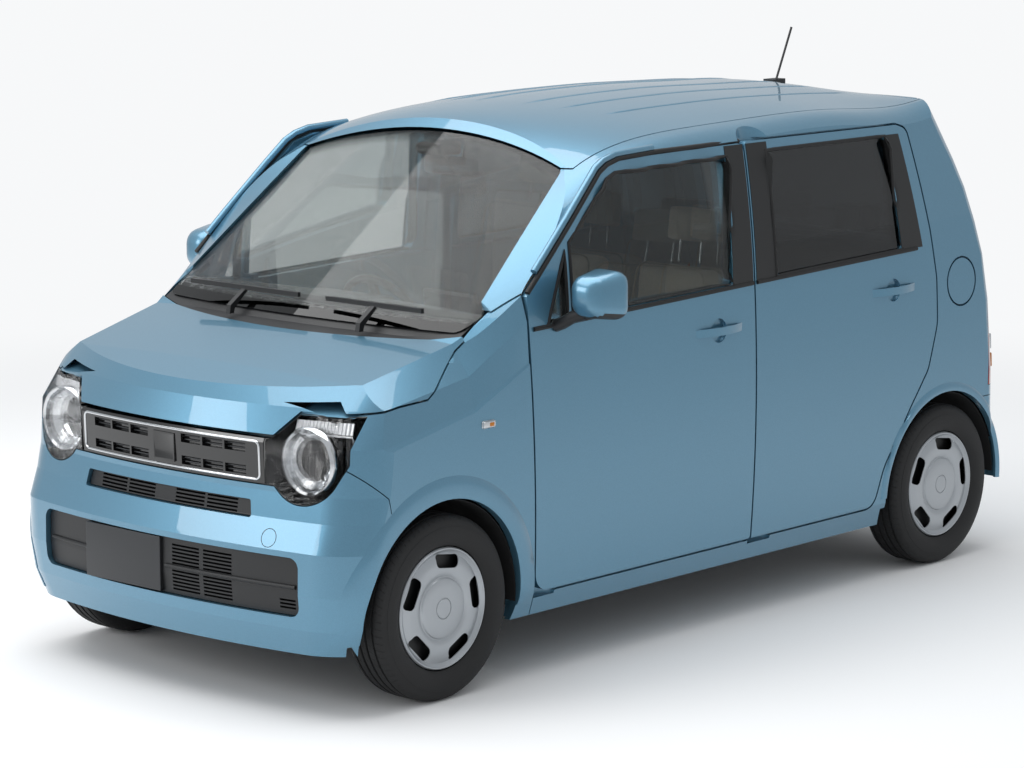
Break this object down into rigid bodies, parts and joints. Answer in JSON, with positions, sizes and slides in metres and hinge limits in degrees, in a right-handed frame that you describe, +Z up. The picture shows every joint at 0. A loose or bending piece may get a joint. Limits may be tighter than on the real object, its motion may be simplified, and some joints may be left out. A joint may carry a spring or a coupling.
{
  "type": "kei car",
  "caption": "Small upright four-door box car with opening doors, bonnet, tailgate and fuel flap, steered front wheels, turning wheels and a hollow cabin.",
  "frame": {"origin": "on the ground, at the middle of the car's length and width", "axes": "+X to the car's left, +Y to its rear, +Z up; the car faces -Y"},
  "size_m": [1.8486, 3.3932, 1.8263],
  "materials": {
    "body": "metallic",
    "black_trim": "satin",
    "grille": "gloss",
    "glass": "clear",
    "dark_glass": "tinted",
    "lamp": "clear",
    "tail_lamp": "gloss",
    "underbody": "matte",
    "iron": "matte",
    "steel": "satin",
    "liner": "matte",
    "dash": "matte",
    "seat": "woven",
    "tyre": "matte",
    "wheel": "satin"
  },
  "bodies": {
    "body": {"body_side_left": "body", "body_side_right": "body", "roof": "body", "windscreen": "glass", "cowl": "black_trim", "front_wings": "body", "front_bumper": "body", "grille": "grille", "lower_grilles": "black_trim", "headlamps": "lamp", "rear_bumper": "body", "tail_lamps": "tail_lamp", "floor_pan": "underbody", "arch_liners": "liner", "front_frame": "underbody", "subframe": "underbody", "rear_axle": "iron", "dashboard": "dash", "front_seats": "seat", "rear_seat": "seat", "engine_block": "iron", "exhaust": "steel", "wipers": "black_trim", "aerial": "black_trim"},
    "door_front_left": {"door_front_left": "body", "glass_front_left": "glass", "mirror_left": "body"},
    "door_front_right": {"door_front_right": "body", "glass_front_right": "glass", "mirror_right": "body"},
    "door_rear_left": {"door_rear_left": "body", "glass_rear_left": "dark_glass"},
    "door_rear_right": {"door_rear_right": "body", "glass_rear_right": "dark_glass"},
    "bonnet": {"bonnet": "body"},
    "tailgate": {"tailgate": "body", "tailgate_glass": "dark_glass"},
    "fuel_flap": {"fuel_flap": "body"},
    "steering_wheel": {"steering_wheel": "dash"},
    "knuckle_left": {"knuckle_left": "iron"},
    "knuckle_right": {"knuckle_right": "iron"},
    "wheel_front_left": {"wheel_front_left": "wheel", "tyre_front_left": "tyre"},
    "wheel_front_right": {"wheel_front_right": "wheel", "tyre_front_right": "tyre"},
    "wheel_rear_left": {"wheel_rear_left": "wheel", "tyre_rear_left": "tyre"},
    "wheel_rear_right": {"wheel_rear_right": "wheel", "tyre_rear_right": "tyre"}
  },
  "joints": [
    {"name": "door_front_left_hinge", "type": "hinge", "parent": "body", "child": "door_front_left", "pos_m": [0.7255, -0.777, 0.7], "axis": [0, 0, -1], "range_deg": [0, 68]},
    {"name": "door_front_right_hinge", "type": "hinge", "parent": "body", "child": "door_front_right", "pos_m": [-0.7255, -0.777, 0.7], "axis": [0, 0, 1], "range_deg": [0, 68]},
    {"name": "door_rear_left_hinge", "type": "hinge", "parent": "body", "child": "door_rear_left", "pos_m": [0.7255, 0.28, 0.7], "axis": [0, 0, -1], "range_deg": [0, 68]},
    {"name": "door_rear_right_hinge", "type": "hinge", "parent": "body", "child": "door_rear_right", "pos_m": [-0.7255, 0.28, 0.7], "axis": [0, 0, 1], "range_deg": [0, 68]},
    {"name": "bonnet_hinge", "type": "hinge", "parent": "body", "child": "bonnet", "pos_m": [0, -1, 1.075], "axis": [-1, 0, 0], "range_deg": [0, 48]},
    {"name": "tailgate_hinge", "type": "hinge", "parent": "body", "child": "tailgate", "pos_m": [0, 1.293, 1.627], "axis": [1, 0, 0], "range_deg": [0, 80]},
    {"name": "fuel_flap_hinge", "type": "hinge", "parent": "body", "child": "fuel_flap", "pos_m": [0.732, 1.304, 0.982], "axis": [0, 0, -1], "range_deg": [0, 100]},
    {"name": "steering_wheel_turn", "type": "hinge", "parent": "body", "child": "steering_wheel", "pos_m": [-0.34, -0.345, 0.925], "axis": [0, 0.9044, 0.4266], "range_deg": [-560, 560]},
    {"name": "steer_left", "type": "hinge", "parent": "body", "child": "knuckle_left", "pos_m": [0.545, -1.219, 0.2785], "axis": [0, 0, 1], "range_deg": [-35, 35]},
    {"name": "steer_right", "type": "hinge", "parent": "body", "child": "knuckle_right", "pos_m": [-0.545, -1.219, 0.2785], "axis": [0, 0, 1], "range_deg": [-35, 35]},
    {"name": "wheel_front_left_spin", "type": "hinge", "parent": "knuckle_left", "child": "wheel_front_left", "pos_m": [0.6525, -1.219, 0.2785], "axis": [1, 0, 0], "continuous": true},
    {"name": "wheel_front_right_spin", "type": "hinge", "parent": "knuckle_right", "child": "wheel_front_right", "pos_m": [-0.6525, -1.219, 0.2785], "axis": [1, 0, 0], "continuous": true},
    {"name": "wheel_rear_left_spin", "type": "hinge", "parent": "body", "child": "wheel_rear_left", "pos_m": [0.6525, 1.301, 0.2785], "axis": [1, 0, 0], "continuous": true},
    {"name": "wheel_rear_right_spin", "type": "hinge", "parent": "body", "child": "wheel_rear_right", "pos_m": [-0.6525, 1.301, 0.2785], "axis": [1, 0, 0], "continuous": true}
  ],
  "couplings": [
    {"joint": "steer_right", "follows": "steer_left", "ratio": 1},
    {"joint": "steering_wheel_turn", "follows": "steer_left", "ratio": 16}
  ]
}
